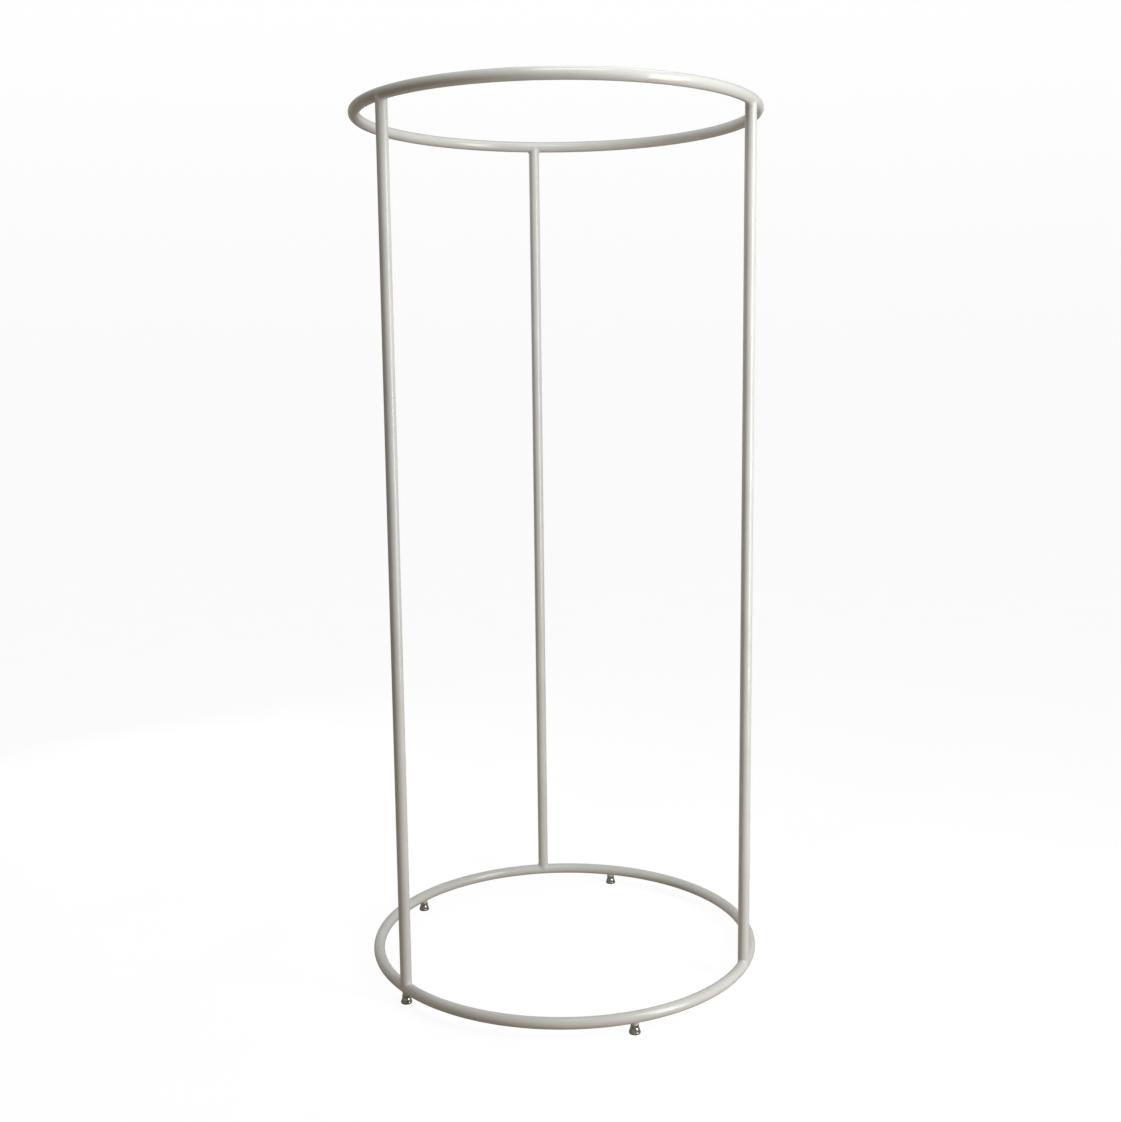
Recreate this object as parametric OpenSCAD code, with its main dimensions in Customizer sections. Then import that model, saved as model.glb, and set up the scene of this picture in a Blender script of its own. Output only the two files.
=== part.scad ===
// Round garment rack: two tube rings joined by three welded uprights, standing on five
// screw-adjusted levelling feet. Origin on the floor at the rack's centre, +Z up, millimetres.
// Angles round the rack are in degrees from the front (-Y), positive towards +X.

/* [Rack] */
// Overall height, floor to the top of the hanging ring
rack_h = 1965; // [1200:5:2300]
// Outside diameter of both rings
ring_outer_d = 914.4; // [600:0.1:1300]
// Outside diameter of the tube of the rings and uprights
tube_d = 25.4; // [21:0.1:40]
// Wall of that tube
tube_wall = 1.5; // [1:0.1:2.5]
// Flat left on each coped horn of an upright, measured from the ring's centre plane
cope_tip = 3; // [2:0.5:6]

/* [Ring seams] */
// Where each ring's butt weld lies
seam_angle = 120; // [100:1:140]
// Width of the butt weld
seam_gap = 1.5; // [1:0.1:3]
// Length of the backing sleeve inside each seam
sleeve_l = 60; // [30:1:90]
// Wall of the backing sleeve
sleeve_wall = 1.2; // [0.8:0.1:2]
// Gap between the backing sleeve and the tube's bore
sleeve_gap = 0.1; // [0.05:0.05:0.3]

/* [Welds] */
// Leg of the weld where an upright meets a ring
weld_leg = 2.5; // [1.5:0.1:4]
// Crown of that weld on the flush sides of the joint
weld_crown = 0.6; // [0.4:0.1:1.5]
// Leg of the weld round each foot boss
boss_weld_leg = 1.5; // [1:0.1:2.5]

/* [Foot bosses] */
// Angle of the first foot, under the front left upright
first_foot_angle = -60; // [-62:1:-58]
// Diameter of the boss head under the ring
boss_head_d = 17; // [15:0.1:19]
// How far the boss stands below the ring
boss_drop = 3.4; // [3:0.1:10]
// Full length of the boss, from its lower face to the top of its spigot
boss_l = 11.4; // [10:0.1:16]
// Diameter of the spigot that goes up through the ring's wall
spigot_d = 14; // [12.8:0.1:14.6]
// Gap round the spigot in the ring's hole
spigot_gap = 0.1; // [0.05:0.05:0.2]

/* [Levelling feet] */
// Thread diameter of the levelling stud
stud_d = 10; // [8:0.5:12]
// Radial clearance of the stud in its boss
stud_clearance = 0.05; // [0.02:0.01:0.1]
// How far the stud reaches above its hexagon
stud_reach = 20; // [14:0.5:22]
// Chamfer at the stud's tip
stud_tip = 1; // [0.5:0.1:1.5]
// Hexagon width across flats
hex_af = 17; // [14:0.5:19]
// Hexagon height
hex_h = 5; // [4:0.1:10]
// Neck of the stud where it turns in the bell
neck_d = 7.9; // [6:0.1:9]
// Radial clearance of the neck in the bell
neck_clearance = 0.05; // [0.02:0.01:0.1]
// Diameter of the riveted head inside the bell
rivet_d = 10.8; // [9.6:0.1:11.2]
// Thickness of the riveted head
rivet_h = 1.8; // [1:0.1:2.5]
// Axial play of the riveted head below the bell's roof
rivet_play = 0.1; // [0.05:0.05:0.3]
// Rim diameter of the bell-shaped base
bell_d = 25.2; // [24:0.1:25.4]
// Height of the bell
bell_h = 12.6; // [9:0.1:14]
// Height of the bell's upright rim
bell_rim_h = 2; // [0.8:0.1:3]
// Radius of the flare above the rim
bell_flare = 1.5; // [1:0.1:2.6]
// Diameter of the bell's flat top
bell_top_d = 13.6; // [12.4:0.1:15]
// Wall of the bell
bell_wall = 1.3; // [1:0.1:1.5]
// Thickness of the pad under the bell
pad_t = 1.8; // [1.2:0.1:4]
// How far the pad is set in from the bell's rim
pad_inset = 0.4; // [0.2:0.1:1]
// Height of the plug that holds the pad in the bell
plug_h = 3; // [2:0.1:3.5]
// Gap round the plug
plug_gap = 0.1; // [0.05:0.05:0.2]

/* [Hidden] */

// Uprights, evenly spaced with one at the rear
upright_names = ["front_left", "front_right", "rear"];
upright_angles = [-60, 60, 180];
// Feet, evenly spaced from the first
foot_count = 5;
foot_angles = [for (i = [0 : foot_count - 1]) first_foot_angle + i * 360 / foot_count];

tube_r = tube_d / 2;
bore_r = tube_r - tube_wall;
ring_r = ring_outer_d / 2 - tube_r;
sleeve_r = bore_r - sleeve_gap;
boss_head_r = boss_head_d / 2;
spigot_r = spigot_d / 2;
stud_r = stud_d / 2;
neck_r = neck_d / 2;
bell_r = bell_d / 2;
bell_body_r = bell_r - bell_flare;
bell_top_r = bell_top_d / 2;
bell_mouth_r = bell_body_r - bell_wall;
bell_shoulder_h = bell_rim_h + bell_flare;

// Heights above the floor, from the pads up
bell_z = pad_t;
hex_z = bell_z + bell_h;
boss_z = hex_z + hex_h;
low_z = boss_z + boss_drop + tube_r;
high_z = rack_h - tube_r;

// Steps round the rings, round a tube and round the small parts, and steps of a profile's arc
ring_fn = 180;
tube_fn = 64;
small_fn = 48;
arc_steps = 6;
// Angle covered by the stretch of ring that a coped piece is cut to
stub_span = 12;
// How far a cut runs past what it cuts
past = 1;

paint = [0.80, 0.81, 0.79];
weld_paint = [0.74, 0.75, 0.73];
raw_steel = [0.45, 0.46, 0.47];
chrome = [0.86, 0.87, 0.89];
nylon = [0.30, 0.30, 0.31];

// The same angle along the ring's centre line as a given length
function arc_angle(length) = length / ring_r * 180 / PI;

// Points on an ellipse's arc
function arc(cx, cy, rx, ry, from, to) = [
    for (i = [0 : arc_steps])
        let (a = from + (to - from) * i / arc_steps)
        [cx + rx * cos(a), cy + ry * sin(a)]
];

// Puts its children on the ring's centre line, X along the ring and -Y outwards
module on_ring(angle) {
    rotate([0, 0, angle]) translate([0, -ring_r, 0]) children();
}

// A length of ring tube centred on an angle
module ring_tube(z, outer, inner, middle, span) {
    translate([0, 0, z])
        rotate([0, 0, middle - 90 - span / 2])
            rotate_extrude(angle = span, $fn = ring_fn)
                translate([ring_r, 0])
                    difference() {
                        circle(r = outer, $fn = tube_fn);
                        circle(r = inner, $fn = tube_fn);
                    }
}

// The outside of a short stretch of ring as a solid, placed for on_ring, for the pieces coped to it
module ring_stub(z, r) {
    translate([0, ring_r, z])
        rotate([0, 0, -90 - stub_span / 2])
            rotate_extrude(angle = stub_span, $fn = ring_fn)
                translate([ring_r, 0]) circle(r = r, $fn = tube_fn);
}

module open_ring(z) {
    ring_tube(z, tube_r, bore_r, seam_angle + 180, 360 - arc_angle(seam_gap));
}

module ring_sleeve(z) {
    color(raw_steel)
        ring_tube(z, sleeve_r, sleeve_r - sleeve_wall, seam_angle, arc_angle(sleeve_l));
}

// Fills the seam flush with the tube, down to the sleeve
module ring_butt_weld(z) {
    color(weld_paint) ring_tube(z, tube_r, sleeve_r, seam_angle, arc_angle(seam_gap));
}

module top_ring() {
    color(paint) open_ring(high_z);
}

module bottom_ring() {
    color(paint)
        difference() {
            open_ring(low_z);
            for (a = foot_angles)
                on_ring(a)
                    translate([0, 0, low_z - tube_r - past])
                        cylinder(r = spigot_r + spigot_gap, h = tube_r + past, $fn = small_fn);
        }
}

// A tube with both ends coped to fit the rings
module upright(angle) {
    foot_z = low_z + cope_tip;
    head_z = high_z - cope_tip;
    color(paint)
        on_ring(angle)
            difference() {
                translate([0, 0, foot_z]) cylinder(r = tube_r, h = head_z - foot_z, $fn = tube_fn);
                translate([0, 0, foot_z - past])
                    cylinder(r = bore_r, h = head_z - foot_z + 2 * past, $fn = tube_fn);
                ring_stub(low_z, tube_r);
                ring_stub(high_z, tube_r);
            }
}

// The weld round a coped joint; up is 1 where the upright rises from the ring, -1 where it hangs
module saddle_weld(angle, z, up) {
    near = cope_tip;
    far = tube_r + weld_leg;
    side = tube_r + weld_crown;
    base_z = up > 0 ? z + near : z - far;
    color(weld_paint)
        on_ring(angle)
            difference() {
                intersection() {
                    translate([0, 0, base_z]) cylinder(r = far, h = far - near, $fn = tube_fn);
                    translate([-far, -side, base_z]) cube([2 * far, 2 * side, far - near]);
                    ring_stub(z, far);
                }
                ring_stub(z, tube_r);
                translate([0, 0, base_z - past])
                    cylinder(r = tube_r, h = far - near + 2 * past, $fn = tube_fn);
            }
}

// Threaded boss: a head coped to the ring's underside and a spigot let into it
module foot_boss(angle) {
    head_top = low_z - sqrt(pow(tube_r, 2) - pow(boss_head_r, 2)) + past;
    color(paint)
        on_ring(angle)
            difference() {
                union() {
                    difference() {
                        translate([0, 0, boss_z])
                            cylinder(r = boss_head_r, h = head_top - boss_z, $fn = small_fn);
                        ring_stub(low_z, tube_r);
                    }
                    translate([0, 0, boss_z]) cylinder(r = spigot_r, h = boss_l, $fn = small_fn);
                }
                translate([0, 0, boss_z - past])
                    cylinder(r = stud_r + stud_clearance, h = boss_l + 2 * past, $fn = small_fn);
            }
}

// Weld collar round one boss head
module boss_weld(angle) {
    collar_r = boss_head_r + boss_weld_leg;
    base_z = low_z - tube_r - boss_weld_leg;
    on_ring(angle)
        difference() {
            intersection() {
                translate([0, 0, base_z])
                    cylinder(r = collar_r, h = tube_r, $fn = small_fn);
                ring_stub(low_z, tube_r + boss_weld_leg);
            }
            ring_stub(low_z, tube_r);
            translate([0, 0, base_z - past])
                cylinder(r = boss_head_r, h = tube_r + 2 * past, $fn = small_fn);
        }
}

module foot_boss_welds() {
    color(weld_paint) for (a = foot_angles) boss_weld(a);
}

// Stud with its hexagon, its neck and the head riveted over inside the bell
module foot_stud(angle) {
    rivet_z = hex_z - bell_wall - rivet_play - rivet_h;
    tip_z = boss_z + stud_reach;
    corner_r = hex_af / sqrt(3);
    face_r = hex_af / 2 * 0.96;
    chamfer = (corner_r - face_r) * tan(30);
    color(chrome)
        on_ring(angle) {
            rotate_extrude($fn = small_fn)
                polygon([
                    [0, rivet_z],
                    [rivet_d / 2, rivet_z],
                    [rivet_d / 2, rivet_z + rivet_h],
                    [neck_r, rivet_z + rivet_h],
                    [neck_r, hex_z + past],
                    [stud_r, hex_z + past],
                    [stud_r, tip_z - stud_tip],
                    [stud_r - stud_tip, tip_z],
                    [0, tip_z]
                ]);
            translate([0, 0, hex_z])
                intersection() {
                    cylinder(r = corner_r, h = hex_h, $fn = 6);
                    rotate_extrude($fn = small_fn)
                        polygon([
                            [0, 0],
                            [face_r, 0],
                            [corner_r, chamfer],
                            [corner_r, hex_h - chamfer],
                            [face_r, hex_h],
                            [0, hex_h]
                        ]);
                }
        }
}

// Bell-shaped shell that carries the load from the hexagon to the pad
module foot_bell(angle) {
    dome_h = bell_h - bell_shoulder_h;
    dome_w = bell_body_r - bell_top_r;
    hole_r = neck_r + neck_clearance;
    color(chrome)
        on_ring(angle)
            translate([0, 0, bell_z])
                rotate_extrude($fn = small_fn)
                    polygon(concat(
                        [[bell_mouth_r, 0], [bell_r, 0]],
                        arc(bell_r, bell_shoulder_h, bell_flare, bell_flare, -90, -180),
                        arc(bell_top_r, bell_shoulder_h, dome_w, dome_h, 0, 90),
                        [[hole_r, bell_h], [hole_r, bell_h - bell_wall]],
                        arc(bell_top_r - bell_wall, bell_shoulder_h, dome_w, dome_h - bell_wall, 90, 0)
                    ));
}

// Pad with the plug that snaps into the bell's mouth
module foot_pad(angle) {
    color(nylon)
        on_ring(angle) {
            cylinder(r = bell_r - pad_inset, h = pad_t, $fn = small_fn);
            cylinder(r = bell_mouth_r - plug_gap, h = pad_t + plug_h, $fn = small_fn);
        }
}

top_ring();
ring_sleeve(high_z);  // top_ring_sleeve
ring_butt_weld(high_z);  // top_ring_butt_weld
bottom_ring();
ring_sleeve(low_z);  // bottom_ring_sleeve
ring_butt_weld(low_z);  // bottom_ring_butt_weld
for (i = [0 : 2]) {
    upright(upright_angles[i]);
    saddle_weld(upright_angles[i], high_z, -1);
    saddle_weld(upright_angles[i], low_z, 1);
}
for (i = [0 : foot_count - 1]) {
    foot_boss(foot_angles[i]);
    foot_stud(foot_angles[i]);
    foot_bell(foot_angles[i]);
    foot_pad(foot_angles[i]);
}
foot_boss_welds();
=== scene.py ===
import math

import bpy
from mathutils import Matrix, Vector, noise


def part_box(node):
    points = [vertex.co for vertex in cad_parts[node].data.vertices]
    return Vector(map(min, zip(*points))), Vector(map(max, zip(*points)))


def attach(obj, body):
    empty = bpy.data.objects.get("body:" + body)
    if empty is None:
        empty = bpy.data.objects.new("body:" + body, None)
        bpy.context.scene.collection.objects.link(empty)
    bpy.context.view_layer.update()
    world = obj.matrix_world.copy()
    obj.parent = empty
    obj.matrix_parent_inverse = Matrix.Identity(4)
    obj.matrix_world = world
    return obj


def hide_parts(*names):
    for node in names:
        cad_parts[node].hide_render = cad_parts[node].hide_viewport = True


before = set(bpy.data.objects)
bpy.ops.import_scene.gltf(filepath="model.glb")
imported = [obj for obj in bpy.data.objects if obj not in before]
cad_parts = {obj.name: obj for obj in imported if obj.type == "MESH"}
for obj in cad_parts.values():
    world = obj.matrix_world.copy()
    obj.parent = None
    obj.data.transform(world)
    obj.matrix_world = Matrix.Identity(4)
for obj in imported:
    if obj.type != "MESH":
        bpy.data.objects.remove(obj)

for startup_name in ("Cube", "Light", "Camera"):
    startup = bpy.data.objects.get(startup_name)
    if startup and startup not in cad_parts.values():
        bpy.data.objects.remove(startup)

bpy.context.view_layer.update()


# ---------------------------------------------------------------- sizes, in metres

MM = 0.001
UP = Vector((0, 0, 1))
TURN = 2 * math.pi


def centre_and_size(node):
    """Middle and extents of a CAD node's box."""
    low, high = (Vector(corner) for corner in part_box(node))
    return (low + high) / 2, high - low


top_centre, top_size = centre_and_size("top_ring")
low_centre, _ = centre_and_size("bottom_ring")
TOP_Z, LOW_Z = top_centre.z, low_centre.z
TUBE_R = top_size.z / 2
RING_R = top_size.x / 2 - TUBE_R
TUBE_WALL = 1.5 * MM
BORE_R = TUBE_R - TUBE_WALL
COPE_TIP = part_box("upright_rear")[0][2] - LOW_Z
COPE_END = 16 * MM


def on_centre_line(node):
    """The point on the rings' centre line, seen from above, that a node stands at."""
    centre, _ = centre_and_size(node)
    return Vector((centre.x, centre.y, 0)).normalized() * RING_R


def seam_angle(node):
    """Where on a ring its seam weld is, as an angle about the Z axis."""
    centre, _ = centre_and_size(node)
    return math.atan2(centre.y, centre.x)


UPRIGHTS = {name: on_centre_line("upright_" + name) for name in ("front_left", "front_right", "rear")}
FEET = {number: on_centre_line(f"foot_boss_{number}") for number in range(1, 6)}

(_, _, BOSS_Z), (_, _, BOSS_TOP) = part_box("foot_boss_1")
BOSS_R = centre_and_size("foot_boss_1")[1].x / 2
BOSS_BORE_R = 5.05 * MM
SPIGOT_R = 7.0 * MM
(_, _, RIVET_Z), (_, _, STUD_TOP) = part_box("foot_stud_1")
THREAD_R = 5.0 * MM
THREAD_PITCH = 1.5 * MM
THREAD_DEPTH = 0.9 * MM
THREAD_CHAMFER = 1.1 * MM
CREST_SHARE, FLANK_SHARE = 0.14, 0.62
HEX_AF = 17.0 * MM
HEX_FILLET = 0.7 * MM
HEX_FACE_R = 8.16 * MM
NECK_R = 3.95 * MM
RIVET_R = 5.4 * MM
RIVET_H = 1.8 * MM
(_, _, BELL_Z), (_, _, BELL_TOP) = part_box("foot_bell_1")
BELL_R = 12.6 * MM
BELL_RIM_H = 2.0 * MM
BELL_FLARE = 1.5 * MM
BELL_TOP_R = 6.8 * MM
BELL_WALL = 1.3 * MM
BELL_HOLE_R = 4.0 * MM
BELL_MOUTH_R = BELL_R - BELL_FLARE - BELL_WALL
PAD_R = BELL_R - 0.4 * MM
PLUG_R = BELL_MOUTH_R - 0.1 * MM
PLUG_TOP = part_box("foot_pad_1")[1][2]


# ---------------------------------------------------------------- mesh helpers

def even_angles(count):
    """That many angles spread evenly over a turn."""
    return [TURN * j / count for j in range(count)]


def arc(centre, radii, start, end, steps):
    """Points (radius, height) on an ellipse's arc, angles in degrees."""
    points = []
    for i in range(steps + 1):
        a = math.radians(start + (end - start) * i / steps)
        points.append((centre[0] + radii[0] * math.cos(a), centre[1] + radii[1] * math.sin(a)))
    return points


def at(value, angle):
    """The value at an angle of something that is a number or a function of the angle."""
    return value(angle) if callable(value) else value


def bridge(low, high):
    """Faces between two rings of vertex numbers, either of which may be a single point."""
    faces = []
    count = max(len(low), len(high))
    for j in range(count):
        k = (j + 1) % count
        if len(low) == 1:
            faces.append((low[0], high[k], high[j]))
        elif len(high) == 1:
            faces.append((low[j], low[k], high[0]))
        else:
            faces.append((low[j], low[k], high[k], high[j]))
    return faces


def turned(rows, angles, closed=True):
    """Vertices and faces turned about the Z axis, with outward faces where the rows run upwards outside.

    Each row is (radius, height), either of which may be a function of the angle.
    A radius of 0 makes one point."""
    verts, rings = [], []
    for radius, height in rows:
        first = len(verts)
        for a in angles if radius else angles[:1]:
            r = at(radius, a)
            verts.append(Vector((r * math.cos(a), r * math.sin(a), at(height, a))))
        rings.append(list(range(first, len(verts))))
    following = rings[1:] + (rings[:1] if closed else [])
    return verts, [face for low, high in zip(rings, following) for face in bridge(low, high)]


def looped(sections, outward=True):
    """Vertices and faces of closed sections that follow each other round a closed loop.

    outward=False turns the faces over, for sections that run the other way round."""
    width = len(sections[0])
    faces = []
    for i in range(len(sections)):
        row, following = i * width, (i + 1) % len(sections) * width
        for j in range(width):
            k = (j + 1) % width
            face = (row + j, following + j, following + k, row + k)
            faces.append(face if outward else face[::-1])
    return [point for section in sections for point in section], faces


def bend(start, pull, end, count):
    """Points on a curve from start to end, drawn towards the point pull."""
    shares = [i / (count - 1) for i in range(count)]
    return [(1 - t) ** 2 * start + 2 * t * (1 - t) * pull + t ** 2 * end for t in shares]


def joined(parts):
    """Several (vertices, faces) pairs as one."""
    verts, faces = [], []
    for part_verts, part_faces in parts:
        shift = len(verts)
        verts += part_verts
        faces += [tuple(v + shift for v in face) for face in part_faces]
    return verts, faces


def make_mesh(name, shape, sharp):
    """A smooth-shaded mesh whose edges stay sharp above an angle in degrees."""
    verts, faces = shape
    mesh = bpy.data.meshes.new(name)
    mesh.from_pydata([tuple(v) for v in verts], [], faces)
    mesh.polygons.foreach_set("use_smooth", [True] * len(mesh.polygons))
    mesh.set_sharp_from_angle(angle=math.radians(sharp))
    return mesh


def add_piece(name, mesh, material, body, nodes, place=None):
    """Puts a mesh in the scene, on its CAD body and in place of its CAD nodes."""
    if not mesh.materials:
        mesh.materials.append(material)
    obj = bpy.data.objects.new(name, mesh)
    bpy.context.scene.collection.objects.link(obj)
    if place:
        obj.matrix_world = place
    bpy.context.view_layer.update()
    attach(obj, body)
    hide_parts(*nodes)


def facing_out(point):
    """A frame standing on the floor under a point of the ring, with X along the ring and -Y outwards."""
    angle = math.atan2(point.y, point.x) + math.pi / 2
    return Matrix.Translation(point) @ Matrix.Rotation(angle, 4, "Z")


# ---------------------------------------------------------------- the ring tube's surface

def ring_height(x, y):
    """Half height of the ring tube above or below a point seen from above."""
    off = math.hypot(x, y) - RING_R
    return math.sqrt(max(TUBE_R ** 2 - off ** 2, 0))


def on_ring_tube(ring_z, a, b, radius):
    """The point at angle a round a ring, angle b round its tube and that radius from the tube's middle."""
    reach = RING_R + radius * math.cos(b)
    return Vector((reach * math.cos(a), reach * math.sin(a), ring_z + radius * math.sin(b)))


def onto_ring(point, ring_z):
    """The nearest point of the ring tube's surface, and its normal there."""
    spine = Vector((point.x, point.y, 0)).normalized() * RING_R + UP * ring_z
    normal = (point - spine).normalized()
    return spine + normal * TUBE_R, normal


def onto_cylinder(point, axis, radius):
    """The nearest point of an upright cylinder's surface, and its normal there."""
    normal = Vector((point.x - axis.x, point.y - axis.y, 0)).normalized()
    return Vector((axis.x, axis.y, point.z)) + normal * radius, normal


# ---------------------------------------------------------------- rings and uprights

RING_STEPS = 480
TUBE_STEPS = 48


def ring_surface(ring_z, radius, ring_steps, tube_steps, inward=False):
    """The surface of a ring tube; inward for the bore, whose faces look at its centre line."""
    sections = [
        [on_ring_tube(ring_z, a, b, radius) for b in even_angles(tube_steps)]
        for a in even_angles(ring_steps)
    ]
    return looped(sections, outward=not inward)


def hollow_ring(ring_z):
    """A ring tube's outside and bore."""
    outside = ring_surface(ring_z, TUBE_R, RING_STEPS, TUBE_STEPS)
    bore = ring_surface(ring_z, BORE_R, RING_STEPS // 2, TUBE_STEPS // 2, inward=True)
    return joined([outside, bore])


def cut_boss_holes(mesh):
    """Cuts the holes for the foot bosses' spigots through the lower wall of the bottom ring."""
    clearance = 0.1 * MM
    radius, start = SPIGOT_R + clearance, LOW_Z - 2 * TUBE_R
    rows = [(0, start), (radius, start), (radius, LOW_Z), (0, LOW_Z)]
    verts, faces = turned(rows, even_angles(48), closed=False)
    drills = joined([([v + axis for v in verts], faces) for axis in FEET.values()])
    drill = bpy.data.objects.new("drill", make_mesh("drill", drills, 30))
    ring = bpy.data.objects.new("drilled", mesh)
    for obj in (drill, ring):
        bpy.context.scene.collection.objects.link(obj)
    cut = ring.modifiers.new("holes", "BOOLEAN")
    cut.operation = "DIFFERENCE"
    cut.solver = "EXACT"
    cut.object = drill
    drilled = bpy.data.meshes.new_from_object(ring.evaluated_get(bpy.context.evaluated_depsgraph_get()))
    for obj in (drill, ring):
        bpy.data.objects.remove(obj)
    drilled.set_sharp_from_angle(angle=math.radians(30))
    return drilled


def upright_shape(axis):
    """A tube from ring to ring, with both ends coped to the rings' surfaces."""
    def end(radius, ring_z, up):
        def height(a):
            cope = ring_height(axis.x + radius * math.cos(a), axis.y + radius * math.sin(a))
            return ring_z + up * max(cope, COPE_TIP)
        return radius, height

    low, high = LOW_Z + COPE_END, TOP_Z - COPE_END
    lengths = 24
    rows = [end(TUBE_R, LOW_Z, 1)]
    rows += [(TUBE_R, low + (high - low) * i / lengths) for i in range(lengths + 1)]
    rows += [end(TUBE_R, TOP_Z, -1), end(BORE_R, TOP_Z, -1)]
    rows += [(BORE_R, high), (BORE_R, low), end(BORE_R, LOW_Z, 1)]
    return turned(rows, even_angles(96))


# ---------------------------------------------------------------- welds

BEAD_STEPS = 192
BEAD_ARC = 9
BEAD_SINK = 0.04 * MM
BEAD_ROOT = 0.5 * MM
BEAD_RIPPLE = 0.07 * MM
SEAM_HALF_WIDTH = 2.4 * MM
SEAM_CROWN = 0.24 * MM
SEAM_SINK = 0.03 * MM
SEAM_ROOT = 0.6 * MM
SEAM_RIPPLE = 0.03 * MM
SEAM_WANDER = 0.25 * MM


def bead_shape(axis, radius, ring_z, up, leg, tip_leg, crown, tip_crown, soft, ripples):
    """A weld bead along the line where an upright cylinder meets the ring.

    up is 1 on top of the ring and -1 under it. soft rounds the line where the two surfaces run into
    each other at the tube's sides, and there the bead has the tip's leg and crown."""
    def root(a):
        x, y = axis.x + radius * math.cos(a), axis.y + radius * math.sin(a)
        return Vector((x, y, ring_z + up * math.hypot(ring_height(x, y), soft)))

    def section(a):
        middle = root(a)
        along = (root(a + 0.01) - root(a - 0.01)).normalized()
        _, wall_normal = onto_cylinder(middle, axis, radius)
        _, ring_normal = onto_ring(middle, ring_z)
        up_wall = wall_normal.cross(along)
        up_wall *= math.copysign(1, up_wall.z * up)
        over_ring = ring_normal.cross(along)
        over_ring *= math.copysign(1, over_ring.dot(wall_normal - UP * up / 2))
        out = (wall_normal + ring_normal).normalized()
        in_crotch = (ring_height(middle.x, middle.y) / TUBE_R) ** 2
        uneven = 1 + 0.10 * noise.noise(middle * 170) + 0.05 * noise.noise(middle * 420)
        reach = (tip_leg + (leg - tip_leg) * in_crotch) * uneven
        fill = (tip_crown + (crown - tip_crown) * in_crotch) * uneven
        fill += BEAD_RIPPLE * math.sin(ripples * a + 3 * noise.noise(middle * 90))
        on_wall, _ = onto_cylinder(middle + up_wall * reach, axis, radius - BEAD_SINK)
        on_ring, normal = onto_ring(middle + over_ring * reach, ring_z)
        on_ring -= normal * BEAD_SINK
        pull = middle + 0.45 * (on_wall + on_ring - 2 * middle) + out * fill
        return bend(on_wall, pull, on_ring, BEAD_ARC) + [middle - out * BEAD_ROOT]

    return looped([section(a) for a in even_angles(BEAD_STEPS)], outward=up < 0)


def saddle_bead(axis, ring_z, up):
    """The bead round a coped joint between an upright and a ring."""
    return bead_shape(axis, TUBE_R, ring_z, up, leg=2.9 * MM, tip_leg=1.9 * MM,
                      crown=0.5 * MM, tip_crown=0.8 * MM, soft=COPE_TIP, ripples=38)


def boss_beads():
    """The beads round the five boss heads under the bottom ring."""
    return joined([
        bead_shape(axis, BOSS_R, LOW_Z, -1, leg=1.9 * MM, tip_leg=1.7 * MM,
                   crown=0.2 * MM, tip_crown=0.2 * MM, soft=0, ripples=26)
        for axis in FEET.values()
    ])


def butt_bead(ring_z, node):
    """The low dressed bead over a ring's seam."""
    seam = seam_angle(node)
    sides = [-1 + i / 6 for i in range(13)]

    def section(b):
        wander = SEAM_WANDER * noise.noise(Vector((math.cos(b), math.sin(b), 3)) * 3)
        ripple = SEAM_RIPPLE * math.sin(34 * b)

        def point(side, lift):
            a = seam + (side * SEAM_HALF_WIDTH + wander) / RING_R
            return on_ring_tube(ring_z, a, b, TUBE_R + lift)

        over = [point(t, (1 - t ** 2) * SEAM_CROWN + ripple * (1 - abs(t)) - SEAM_SINK) for t in sides]
        return over + [point(0, -SEAM_ROOT)]

    return looped([section(b) for b in even_angles(96)], outward=False)


# ---------------------------------------------------------------- levelling feet

def boss_shape(axis):
    """A threaded boss's turned body, its head coped to the ring and its spigot up inside it."""
    turn = facing_out(axis)

    def coped(radius):
        def height(a):
            point = turn @ Vector((radius * math.cos(a), radius * math.sin(a), 0))
            return LOW_Z - ring_height(point.x, point.y)
        return radius, height

    edge, edge_middle = 0.5 * MM, 0.15 * MM
    rows = [
        (BOSS_BORE_R + edge, BOSS_Z),
        (BOSS_R - edge, BOSS_Z),
        (BOSS_R - edge_middle, BOSS_Z + edge_middle),
        (BOSS_R, BOSS_Z + edge),
        coped(BOSS_R),
        coped(SPIGOT_R),
        (SPIGOT_R, BOSS_TOP - edge),
        (SPIGOT_R - edge, BOSS_TOP),
        (BOSS_BORE_R + edge, BOSS_TOP),
        (BOSS_BORE_R, BOSS_TOP - edge),
        (BOSS_BORE_R, BOSS_Z + edge),
    ]
    return turned(rows, even_angles(72))


def hex_radius(a):
    """A hexagon's radius, with its corners slightly rounded."""
    from_corner = abs((a + math.pi / 6) % (math.pi / 3) - math.pi / 6)
    corner_centre = (HEX_AF / 2 - HEX_FILLET) / math.cos(math.pi / 6)
    tangent = math.atan2(HEX_FILLET / 2, corner_centre + HEX_FILLET * math.cos(math.pi / 6))
    if from_corner > tangent:
        return HEX_AF / 2 / math.cos(math.pi / 6 - from_corner)
    across = corner_centre * math.sin(from_corner)
    return corner_centre * math.cos(from_corner) + math.sqrt(HEX_FILLET ** 2 - across ** 2)


def thread_radius(z):
    """Radius of a right-hand thread with its flanks, crest and root, as a function of the angle."""
    def radius(a):
        phase = (z / THREAD_PITCH - a / TURN) % 1
        from_crest = abs(phase - 0.5) * 2
        cut = min(max((from_crest - CREST_SHARE) / FLANK_SHARE, 0), 1)
        return min(THREAD_R - THREAD_DEPTH * cut, THREAD_R - THREAD_CHAMFER + STUD_TOP - z)
    return radius


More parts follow.
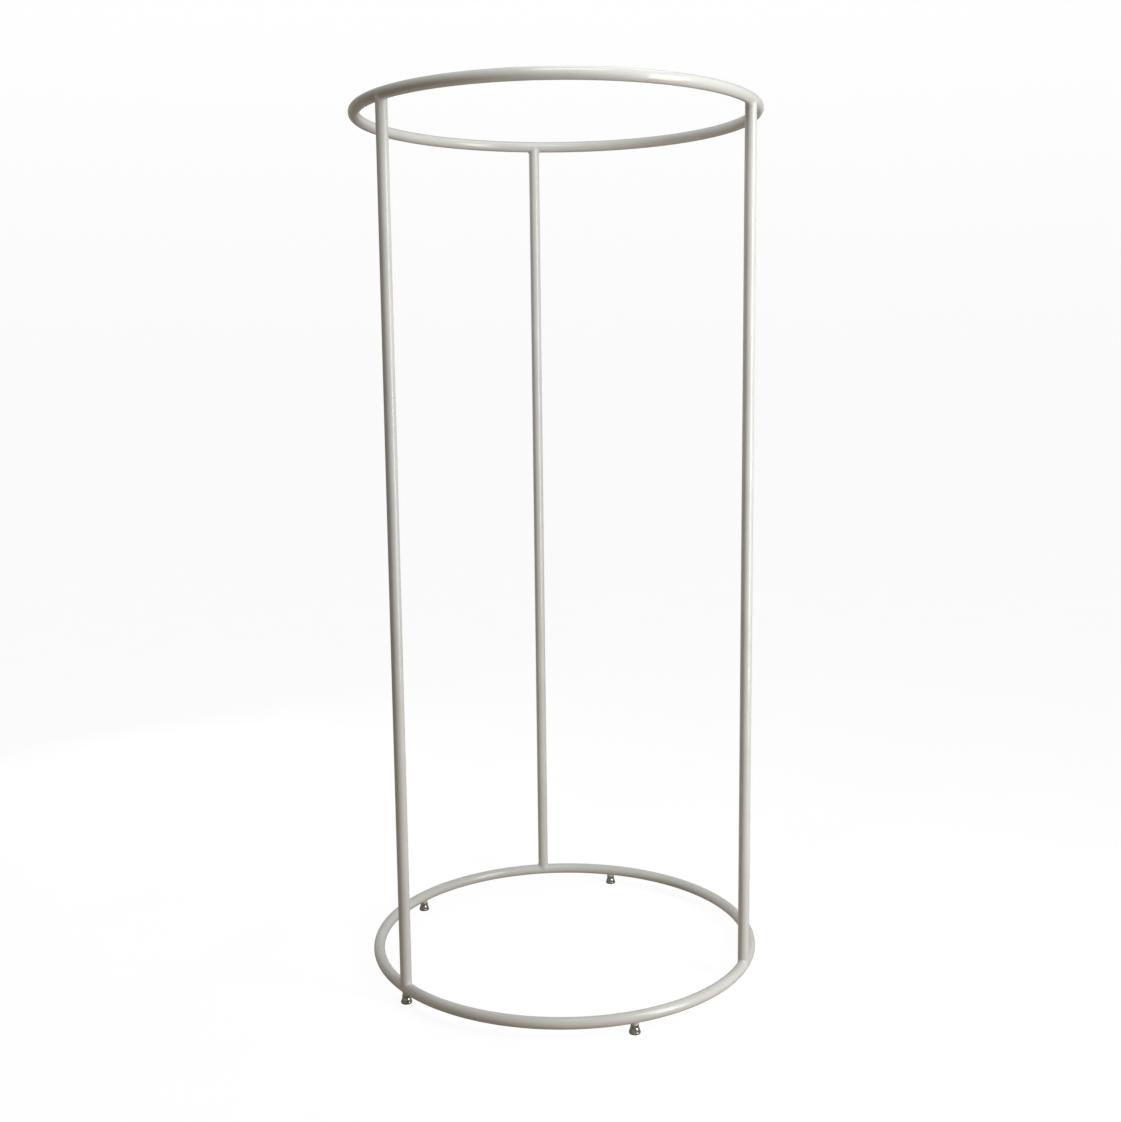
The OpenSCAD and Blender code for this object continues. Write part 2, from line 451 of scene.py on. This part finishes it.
def stud_shape():
    """The levelling stud: riveted head, neck, chamfered hexagon and thread."""
    def chamfer(a):
        return (hex_radius(a) - HEX_FACE_R) * math.tan(math.radians(30))

    rivet_top = RIVET_Z + RIVET_H
    round_w, round_h = 1.5 * MM, 1.1 * MM
    from_corner = (-2.1, -0.9, 0.9, 2.1, 12, 21, 30, 39, 48)
    angles = [math.radians(corner + off) for corner in range(0, 360, 60) for off in from_corner]
    rows = [(0, RIVET_Z), (RIVET_R - round_w - 0.2 * MM, RIVET_Z)]
    rows += arc((RIVET_R - round_w, RIVET_Z + round_h), (round_w, round_h), -80, 0, 5)
    rows += [(RIVET_R, rivet_top), (NECK_R, rivet_top), (NECK_R, BELL_TOP)]
    rows += [(HEX_FACE_R, BELL_TOP), (hex_radius, lambda a: BELL_TOP + chamfer(a))]
    rows += [(hex_radius, lambda a: BOSS_Z - chamfer(a)), (HEX_FACE_R, BOSS_Z)]
    thread_z = BOSS_Z + 0.02 * MM
    steps = 170
    for i in range(steps + 1):
        z = thread_z + (STUD_TOP - thread_z) * i / steps
        rows.append((thread_radius(z), z))
    rows.append((0, STUD_TOP))
    return turned(rows, angles, closed=False)


def bell_shape():
    """The pressed bell: rolled rim, flare, dome and the hole for the stud's neck."""
    edge = 0.3 * MM
    rim_z = BELL_Z + BELL_RIM_H
    shoulder_z = rim_z + BELL_FLARE
    dome_w = BELL_R - BELL_FLARE - BELL_TOP_R
    dome_h = BELL_TOP - shoulder_z
    rows = [(BELL_MOUTH_R + edge, BELL_Z)]
    rows += arc((BELL_R - edge, BELL_Z + edge), (edge, edge), -90, 0, 4)
    rows += arc((BELL_R - edge, rim_z - edge), (edge, edge), 0, 80, 4)
    rows += arc((BELL_R, shoulder_z), (BELL_FLARE, BELL_FLARE), -100, -180, 9)
    rows += arc((BELL_TOP_R, shoulder_z), (dome_w, dome_h), 5, 90, 16)
    rows += arc((BELL_HOLE_R + edge, BELL_TOP - edge), (edge, edge), 90, 180, 4)
    rows += [(BELL_HOLE_R, BELL_TOP - BELL_WALL)]
    rows += arc((BELL_TOP_R - BELL_WALL, shoulder_z), (dome_w, dome_h - BELL_WALL), 90, 0, 14)
    rows += [(BELL_MOUTH_R, BELL_Z + edge)]
    return turned(rows, even_angles(96))


def pad_shape():
    """The moulded pad: shallow grooves underneath, rounded edges and the plug into the bell."""
    edge, groove = 0.4 * MM, 0.3 * MM
    rows = [(0, groove), (3.0 * MM, groove), (3.3 * MM, 0)]
    rows += [(6.0 * MM, 0), (6.2 * MM, groove), (7.8 * MM, groove), (8.0 * MM, 0)]
    rows += arc((PAD_R - edge, edge), (edge, edge), -90, 0, 5)
    rows += arc((PAD_R - edge, BELL_Z - edge), (edge, edge), 0, 90, 5)
    rows += [(PLUG_R, BELL_Z), (PLUG_R, PLUG_TOP - edge), (PLUG_R - edge, PLUG_TOP), (0, PLUG_TOP)]
    return turned(rows, even_angles(96), closed=False)


# ---------------------------------------------------------------- materials

MIX_FIRST, MIX_SECOND, MIX_COLOUR = 6, 7, 2     # the Mix node's sockets for colours


class Nodes:
    """A node tree with short ways to add nodes to it."""

    def __init__(self, tree):
        self.tree = tree

    def put(self, socket, value):
        """Gives a socket a number, a colour or another node's output."""
        if isinstance(value, bpy.types.NodeSocket):
            self.tree.links.new(value, socket)
        else:
            socket.default_value = value

    def add(self, kind, inputs=None, **settings):
        node = self.tree.nodes.new("ShaderNode" + kind)
        for key, value in settings.items():
            setattr(node, key, value)
        for key, value in (inputs or {}).items():
            self.put(node.inputs[key], value)
        return node

    def maths(self, operation, a, b=0.0):
        return self.add("Math", {0: a, 1: b}, operation=operation).outputs[0]

    def times(self, a, b):
        return self.maths("MULTIPLY", a, b)

    def plus(self, a, b):
        return self.maths("ADD", a, b)

    def ramp(self, value, start, end, low=0.0, high=1.0):
        """value from start to end, eased, as low to high."""
        inputs = {"Value": value, "From Min": start, "From Max": end, "To Min": low, "To Max": high}
        return self.add("MapRange", inputs, interpolation_type="SMOOTHSTEP").outputs["Result"]

    def blend(self, factor, first, second):
        """Two colours mixed, from first at 0 to second at 1."""
        node = self.add("Mix", {"Factor": factor}, data_type="RGBA")
        self.put(node.inputs[MIX_FIRST], first)
        self.put(node.inputs[MIX_SECOND], second)
        return node.outputs[MIX_COLOUR]


class Shader(Nodes):
    """A material on the Principled shader."""

    def __init__(self, name, **uniform):
        self.material = bpy.data.materials.new(name)
        self.material.use_nodes = True
        super().__init__(self.material.node_tree)
        self.surface = self.tree.nodes["Principled BSDF"]
        self.set(**uniform)
        self.place = self.add("TexCoord").outputs["Object"]

    def set(self, **values):
        """Sets the shader's inputs, each to a number, a colour or a socket."""
        for key, value in values.items():
            self.put(self.surface.inputs[key.replace("_", " ")], value)

    def cloud(self, scale, detail=2.0, place=None, shift=0.0):
        """Noise of that many features in a metre."""
        inputs = {"Vector": place or self.place, "W": shift, "Scale": scale, "Detail": detail}
        return self.add("TexNoise", inputs, noise_dimensions="4D").outputs["Fac"]

    def bump(self, heights):
        """Bumps laid over each other: (height socket, depth in metres, strength)."""
        normal = None
        for height, depth, strength in heights:
            inputs = {"Height": height, "Distance": depth, "Strength": strength}
            if normal:
                inputs["Normal"] = normal
            normal = self.add("Bump", inputs).outputs["Normal"]
        self.set(Normal=normal)


PAINT = (0.60, 0.603, 0.59, 1)
PAINT_PALE = (0.63, 0.633, 0.62, 1)
SCUFF = (0.40, 0.39, 0.37, 1)
DUST = (0.50, 0.47, 0.42, 1)
STEEL = (0.42, 0.42, 0.43, 1)
# Chrome's colour, darkened as painted shade that stands in for the dark room the feet reflect.
CHROME_WITH_PAINTED_SHADE = (0.47, 0.475, 0.48, 1)
# Dark grime, also used for the painted shade near the feet's axis.
GRIME_AND_SHADE = (0.08, 0.07, 0.06, 1)
NYLON = (0.10, 0.098, 0.095, 1)
NYLON_PALE = (0.15, 0.147, 0.14, 1)
FLOOR_DUST = (0.40, 0.37, 0.32, 1)
BARE_STEEL = (0.30, 0.30, 0.31, 1)
BARE_STEEL_PALE = (0.45, 0.45, 0.46, 1)
RUST = (0.22, 0.09, 0.04, 1)
CHIP_DEPTH = 0.08 * MM


def chipped(paint, chip):
    """The bump layer of a chip's lower floor."""
    return paint.maths("SUBTRACT", 1.0, chip), CHIP_DEPTH, 0.4


def paint_base(name):
    """Glossy powder coat: faint mottling, orange peel and handled patches.

    Returns the shader, its colour and roughness sockets, and its bump layers."""
    paint = Shader(name, Metallic=0.0, IOR=1.5)
    colour = paint.blend(paint.ramp(paint.cloud(7, 3), 0.35, 0.65), PAINT, PAINT_PALE)
    handled = paint.ramp(paint.cloud(16, 3, shift=4), 0.42, 0.80)
    roughness = paint.ramp(paint.cloud(60, 3, shift=9), 0.3, 0.7, 0.14, 0.19)
    roughness = paint.plus(roughness, paint.times(handled, 0.07))
    peel = [(paint.cloud(320, 2, shift=2), 0.08 * MM, 0.5), (paint.cloud(1200, 1, shift=5), 0.02 * MM, 0.5)]
    return paint, colour, roughness, peel


def add_specks(paint, colour, amount):
    """Small chips down to the steel. Returns the colour with them, and where they are."""
    cells = paint.add("TexVoronoi", {"Vector": paint.place, "Scale": 95.0, "Randomness": 1.0})
    size = paint.ramp(paint.cloud(40, 2, shift=21), 0.52, 0.78, 0.0, amount)
    chip = paint.maths("LESS_THAN", cells.outputs["Distance"], size)
    return paint.blend(paint.times(chip, 0.8), colour, STEEL), chip


def upright_paint():
    """The uprights' and bosses' paint, with long faint scuffs."""
    paint, colour, roughness, peel = paint_base("upright_paint")
    colour, _ = add_specks(paint, colour, 0.10)
    streak = paint.add("Mapping", {"Vector": paint.place, "Scale": (260.0, 260.0, 9.0)}).outputs[0]
    scuff = paint.ramp(paint.cloud(1, 4, place=streak, shift=3), 0.60, 0.80)
    scuff = paint.times(scuff, paint.ramp(paint.cloud(5, 2, shift=8), 0.5, 0.7, 0.0, 0.30))
    colour = paint.blend(scuff, colour, SCUFF)
    paint.set(Base_Color=colour, Roughness=paint.plus(roughness, scuff))
    paint.bump(peel)
    return paint.material


def ring_coordinates(paint, ring_z, node):
    """Angles round the ring and round its tube, and the height over the tube's middle in tube radii.

    The angle round the ring jumps at the seam weld, which hides it."""
    to_seam = {"Vector": paint.place, "Angle": math.pi - seam_angle(node)}
    turned_place = paint.add("VectorRotate", to_seam, rotation_type="Z_AXIS").outputs[0]
    x, y, z = paint.add("SeparateXYZ", {"Vector": turned_place}).outputs
    plan = paint.add("CombineXYZ", {"X": x, "Y": y}).outputs[0]
    reach = paint.add("VectorMath", {0: plan}, operation="LENGTH").outputs["Value"]
    over = paint.maths("SUBTRACT", z, ring_z)
    round_ring = paint.maths("ARCTAN2", y, x)
    round_tube = paint.maths("ARCTAN2", over, paint.maths("SUBTRACT", reach, RING_R))
    return round_ring, round_tube, paint.maths("DIVIDE", over, TUBE_R)


def stretched_noise(paint, round_ring, along, round_tube, across):
    """Noise whose features follow a ring: that many to a radian round the ring and round its tube."""
    place = {"X": paint.times(round_ring, along), "Y": paint.times(round_tube, across)}
    return paint.cloud(1, 4, place=paint.add("CombineXYZ", place).outputs[0])


def hanging_ring_paint():
    """The top ring's paint, polished and greyed along the crown where hooks slide."""
    paint, colour, roughness, peel = paint_base("hanging_ring_paint")
    round_ring, round_tube, height = ring_coordinates(paint, TOP_Z, "top_ring_butt_weld")
    crown = paint.ramp(height, 0.55, 0.95)
    rubbed = paint.ramp(stretched_noise(paint, round_ring, 9.0, round_tube, 34.0), 0.42, 0.70)
    patches = paint.ramp(paint.cloud(9, 2, shift=6), 0.35, 0.65, 0.25, 0.8)
    wear = paint.times(paint.times(crown, rubbed), patches)
    colour, chip = add_specks(paint, colour, 0.16)
    colour = paint.blend(paint.times(wear, 0.6), colour, SCUFF)
    paint.set(Base_Color=colour, Roughness=paint.plus(roughness, paint.times(wear, -0.08)))
    paint.bump(peel + [(wear, 0.03 * MM, 0.5), chipped(paint, chip)])
    return paint.material


def base_ring_paint():
    """The bottom ring's paint, with dust lying on its upper side and shoe scuffs outside."""
    paint, colour, roughness, peel = paint_base("base_ring_paint")
    round_ring, round_tube, height = ring_coordinates(paint, LOW_Z, "bottom_ring_butt_weld")
    patches = paint.ramp(paint.cloud(30, 6), 0.30, 0.75, 0.15, 0.75)
    dust = paint.times(paint.ramp(height, 0.35, 0.95), patches)
    scuff = paint.ramp(stretched_noise(paint, round_ring, 30.0, round_tube, 9.0), 0.62, 0.74)
    scuff = paint.times(scuff, paint.ramp(paint.cloud(11, 1, shift=7), 0.5, 0.66, 0.0, 0.5))
    colour, chip = add_specks(paint, colour, 0.16)
    colour = paint.blend(paint.times(dust, 0.6), colour, DUST)
    colour = paint.blend(scuff, colour, SCUFF)
    dull = paint.plus(paint.times(dust, 0.30), scuff)
    paint.set(Base_Color=colour, Roughness=paint.plus(roughness, dull))
    paint.bump(peel + [chipped(paint, chip)])
    return paint.material


def weld_paint():
    """Paint over a bead: the same coat, a little thinner and less even."""
    paint, colour, roughness, peel = paint_base("weld_paint")
    spatter = paint.ramp(paint.cloud(520, 2, shift=13), 0.55, 0.75)
    colour = paint.blend(paint.ramp(paint.cloud(240, 3, shift=17), 0.5, 0.8, 0.0, 0.25), colour, SCUFF)
    paint.set(Base_Color=colour, Roughness=paint.plus(roughness, 0.05))
    paint.bump(peel + [(spatter, 0.15 * MM, 0.35)])
    return paint.material


def own_shift(shader):
    """A shift of the noise that differs from foot to foot, so that no two look alike."""
    return shader.times(shader.add("ObjectInfo").outputs["Random"], 40.0)


def chrome():
    """Chrome plate: fine polishing lines, smears, grime low down, and painted shade darkening the thread
    roots and everything else near the axis.
    """
    plate = Shader("foot_chrome", Metallic=1.0)
    shift = own_shift(plate)
    x, y, z = plate.add("SeparateXYZ", {"Vector": plate.place}).outputs
    plan = plate.add("CombineXYZ", {"X": x, "Y": y}).outputs[0]
    radius = plate.add("VectorMath", {0: plan}, operation="LENGTH").outputs["Value"]
    # Painted shade: everything nearer the axis than the thread's middle (the thread roots, the neck and the
    # rim of the bell's hole) is darkened.
    shade_near_axis = plate.maths("LESS_THAN", radius, THREAD_R - THREAD_DEPTH / 2)
    smear = plate.ramp(plate.cloud(90, 4, shift=shift), 0.45, 0.75)
    grime = plate.ramp(plate.cloud(260, 4, shift=shift), 0.50, 0.80, 0.0, 0.5)
    low = plate.ramp(z, BELL_Z, BELL_Z + 4 * MM, 0.7, 0.1)
    grime_and_shade = plate.maths("MAXIMUM", plate.times(grime, low), plate.times(shade_near_axis, 0.75))
    roughness = plate.plus(plate.ramp(smear, 0.0, 1.0, 0.07, 0.20), plate.times(grime_and_shade, 0.45))
    lines_to_metre = 9000.0
    turned_place = {"X": plate.times(radius, lines_to_metre), "Z": plate.times(z, lines_to_metre)}
    lines = plate.cloud(1, 2, place=plate.add("CombineXYZ", turned_place).outputs[0], shift=shift)
    plate.set(Base_Color=plate.blend(grime_and_shade, CHROME_WITH_PAINTED_SHADE, GRIME_AND_SHADE), Roughness=roughness)
    plate.bump([(lines, 0.004 * MM, 0.5), (plate.cloud(420, 2, shift=shift), 0.02 * MM, 0.25)])
    return plate.material


def nylon():
    """The pad's moulded nylon: fine moulded texture, scuffed and dusty towards the floor."""
    pad = Shader("foot_pad", Metallic=0.0, IOR=1.53)
    shift = own_shift(pad)
    height = pad.add("SeparateXYZ", {"Vector": pad.place}).outputs["Z"]
    patches = pad.ramp(pad.cloud(320, 4, shift=shift), 0.35, 0.75)
    dust = pad.times(pad.ramp(height, 1.6 * MM, 0.0), patches)
    colour = pad.blend(pad.cloud(150, 3, shift=shift), NYLON, NYLON_PALE)
    colour = pad.blend(pad.times(dust, 0.7), colour, FLOOR_DUST)
    pad.set(Base_Color=colour, Roughness=pad.ramp(pad.cloud(500, 2, shift=shift), 0.3, 0.7, 0.42, 0.60))
    pad.bump([(pad.cloud(2600, 2, shift=shift), 0.04 * MM, 0.5)])
    return pad.material


def raw_steel():
    """Bare drawn steel inside the seams: mill scale and a little rust."""
    steel = Shader("raw_steel", Metallic=1.0)
    scale = steel.ramp(steel.cloud(120, 5), 0.35, 0.7)
    rust = steel.ramp(steel.cloud(60, 6, shift=5), 0.62, 0.78, 0.0, 0.8)
    colour = steel.blend(rust, steel.blend(scale, BARE_STEEL, BARE_STEEL_PALE), RUST)
    roughness = steel.plus(steel.ramp(scale, 0.0, 1.0, 0.5, 0.35), steel.times(rust, 0.3))
    steel.set(Base_Color=colour, Roughness=roughness)
    steel.bump([(steel.cloud(700, 3), 0.03 * MM, 0.5)])
    return steel.material


# ---------------------------------------------------------------- the rack

def add_rings(coats, weld_coat, bare):
    """Both hoops, the weld over each seam, and a finish for the backing sleeves inside them."""
    hoops = {"top": make_mesh("hanging_ring", hollow_ring(TOP_Z), 40)}
    hoops["bottom"] = cut_boss_holes(make_mesh("base_ring", hollow_ring(LOW_Z), 40))
    for ring, piece, ring_z in (("top", "hanging_ring", TOP_Z), ("bottom", "base_ring", LOW_Z)):
        add_piece(piece, hoops[ring], coats[ring], "rack", [f"{ring}_ring"])
        node = f"{ring}_ring_butt_weld"
        bead = make_mesh(node, butt_bead(ring_z, node), 50)
        add_piece(f"{ring}_seam_bead", bead, weld_coat, "rack", [node])
        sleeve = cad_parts[f"{ring}_ring_sleeve"]
        sleeve.data.materials.clear()
        sleeve.data.materials.append(bare)


def add_uprights(coat, weld_coat):
    """The three uprights and the weld beads at both ends of each."""
    for name, axis in UPRIGHTS.items():
        tube = make_mesh("tube_" + name, upright_shape(axis), 40)
        place = Matrix.Translation(axis)
        add_piece("tube_" + name, tube, coat, "rack", ["upright_" + name], place)
        for end, ring_z, up in (("top", TOP_Z, -1), ("bottom", LOW_Z, 1)):
            bead = make_mesh(f"{end}_bead_{name}", saddle_bead(axis, ring_z, up), 60)
            add_piece(f"{end}_bead_{name}", bead, weld_coat, "rack", [f"{end}_weld_{name}"])


def add_feet(coat, weld_coat, plated, moulded):
    """The five feet: painted boss, chrome stud and bell, and pad. All but the bosses share their meshes."""
    beads = make_mesh("boss_beads", boss_beads(), 60)
    add_piece("boss_beads", beads, weld_coat, "rack", ["foot_boss_welds"])
    stud = make_mesh("stud", stud_shape(), 32)
    bell = make_mesh("bell", bell_shape(), 40)
    pad = make_mesh("pad", pad_shape(), 35)
    for number, axis in FEET.items():
        place = facing_out(axis)
        foot, screw = f"foot_{number}", f"foot_{number}_screw"
        boss = make_mesh(f"boss_{number}", boss_shape(axis), 35)
        add_piece(f"boss_{number}", boss, coat, "rack", [f"foot_boss_{number}"], place)
        add_piece(f"stud_{number}", stud, plated, screw, [f"foot_stud_{number}"], place)
        add_piece(f"bell_{number}", bell, plated, foot, [f"foot_bell_{number}"], place)
        add_piece(f"pad_{number}", pad, moulded, foot, [f"foot_pad_{number}"], place)


ring_coats = {"top": hanging_ring_paint(), "bottom": base_ring_paint()}
tube_coat, bead_coat = upright_paint(), weld_paint()
add_rings(ring_coats, bead_coat, raw_steel())
add_uprights(tube_coat, bead_coat)
add_feet(tube_coat, bead_coat, chrome(), nylon())


# ---------------------------------------------------------------- floor, light and camera

FLOOR_R = 30
FLOOR_SEEN = (0.095, 0.095, 0.095, 1)
FLOOR_MOTTLED = (0.085, 0.085, 0.085, 1)
FLOOR_BOUNCED = (0.40, 0.315, 0.235, 1)
FLOOR_GLOW = 0.93
LEFT_SIDE = (0.28, 0.25, 0.215, 1)
RIGHT_SIDE = (0.36, 0.36, 0.35, 1)
CEILING = (0.30, 0.30, 0.29, 1)
BACKDROP_LOW = (0.957, 0.957, 0.957, 1)
BACKDROP_HIGH = (1.0, 1.0, 1.0, 1)


def make_floor():
    """A pale floor that runs to the horizon.

    It looks pale but throws back little light, as a darker room would."""
    paint = Shader("floor", Roughness=0.9, Specular_IOR_Level=0.0, Emission_Color=(1, 1, 1, 1))
    seen = paint.add("LightPath").outputs["Is Camera Ray"]
    mottle = paint.ramp(paint.cloud(3, 3), 0.3, 0.7)
    pale = paint.blend(mottle, FLOOR_MOTTLED, FLOOR_SEEN)
    paint.set(Base_Color=paint.blend(seen, FLOOR_BOUNCED, pale))
    paint.set(Emission_Strength=paint.times(seen, FLOOR_GLOW))
    rim = [Vector((FLOOR_R * math.cos(a), FLOOR_R * math.sin(a), 0)) for a in even_angles(96)]
    mesh = make_mesh("floor", (rim, [tuple(range(len(rim)))]), 30)
    mesh.materials.append(paint.material)
    floor = bpy.data.objects.new("floor", mesh)
    bpy.context.scene.collection.objects.link(floor)


def make_world():
    """Soft studio surroundings: cool and bright on the right, warm and dim on the left.

    Seen directly they are a pale backdrop."""
    world = bpy.data.worlds.new("studio")
    bpy.context.scene.world = world
    world.use_nodes = True
    studio = Nodes(world.node_tree)
    direction = studio.add("TexCoord").outputs["Generated"]
    x, _, z = studio.add("SeparateXYZ", {"Vector": direction}).outputs
    sides = studio.blend(studio.ramp(x, -0.7, 0.9), LEFT_SIDE, RIGHT_SIDE)
    around = studio.blend(studio.ramp(z, 0.05, 0.85), sides, CEILING)
    backdrop = studio.blend(studio.ramp(z, -0.02, 0.30), BACKDROP_LOW, BACKDROP_HIGH)
    seen = studio.add("LightPath").outputs["Is Camera Ray"]
    background = world.node_tree.nodes["Background"]
    studio.put(background.inputs["Color"], studio.blend(seen, around, backdrop))


def add_softbox(name, position, target, size, watts, colour, gloss=True):
    """A rectangular lamp aimed at a target and hidden from the camera.

    gloss=False keeps it out of reflections too."""
    light = bpy.data.lights.new(name, "AREA")
    light.shape = "RECTANGLE"
    light.size, light.size_y = size
    light.energy = watts
    light.color = colour
    lamp = bpy.data.objects.new(name, light)
    lamp.location = position
    lamp.rotation_euler = (Vector(target) - Vector(position)).to_track_quat("-Z", "Y").to_euler()
    lamp.visible_camera = False
    lamp.visible_glossy = gloss
    bpy.context.scene.collection.objects.link(lamp)


def make_camera():
    """Standing eye level in front of the rack, a little left of its front, looking slightly down."""
    azimuth, distance, height = math.radians(-7.302), 3.1257, 1.4034
    pitch, roll, focal_length = math.radians(8.215), math.radians(0.613), 43.54
    lens = bpy.data.cameras.new("camera")
    lens.lens = focal_length
    camera = bpy.data.objects.new("camera", lens)
    camera.location = (distance * math.sin(azimuth), -distance * math.cos(azimuth), height)
    level = math.cos(pitch)
    ahead = Vector((-math.sin(azimuth) * level, math.cos(azimuth) * level, -math.sin(pitch)))
    facing = ahead.to_track_quat("-Z", "Y").to_matrix() @ Matrix.Rotation(-roll, 3, "Z")
    camera.rotation_euler = facing.to_euler()
    bpy.context.scene.collection.objects.link(camera)
    bpy.context.scene.camera = camera


make_floor()
make_world()
add_softbox("key", (1.75, -1.55, 1.40), (0.1, 0, 0.90), (0.8, 2.6), 55, (0.99, 1.0, 0.985))
add_softbox("front", (-0.02, -0.95, 2.75), (-0.05, -0.40, 1.95), (0.7, 0.5), 6.5, (0.98, 1.0, 0.99))
add_softbox("overhead", (0.3, 0.1, 3.1), (0.3, 0, 1.9), (0.9, 0.9), 5, (0.97, 1.0, 1.0))
add_softbox("rear", (-1.35, 1.95, 1.60), (0, 0, 1.0), (0.7, 2.2), 24, (0.98, 0.99, 1.0), gloss=False)
make_camera()
bpy.context.scene.view_settings.view_transform = "Standard"
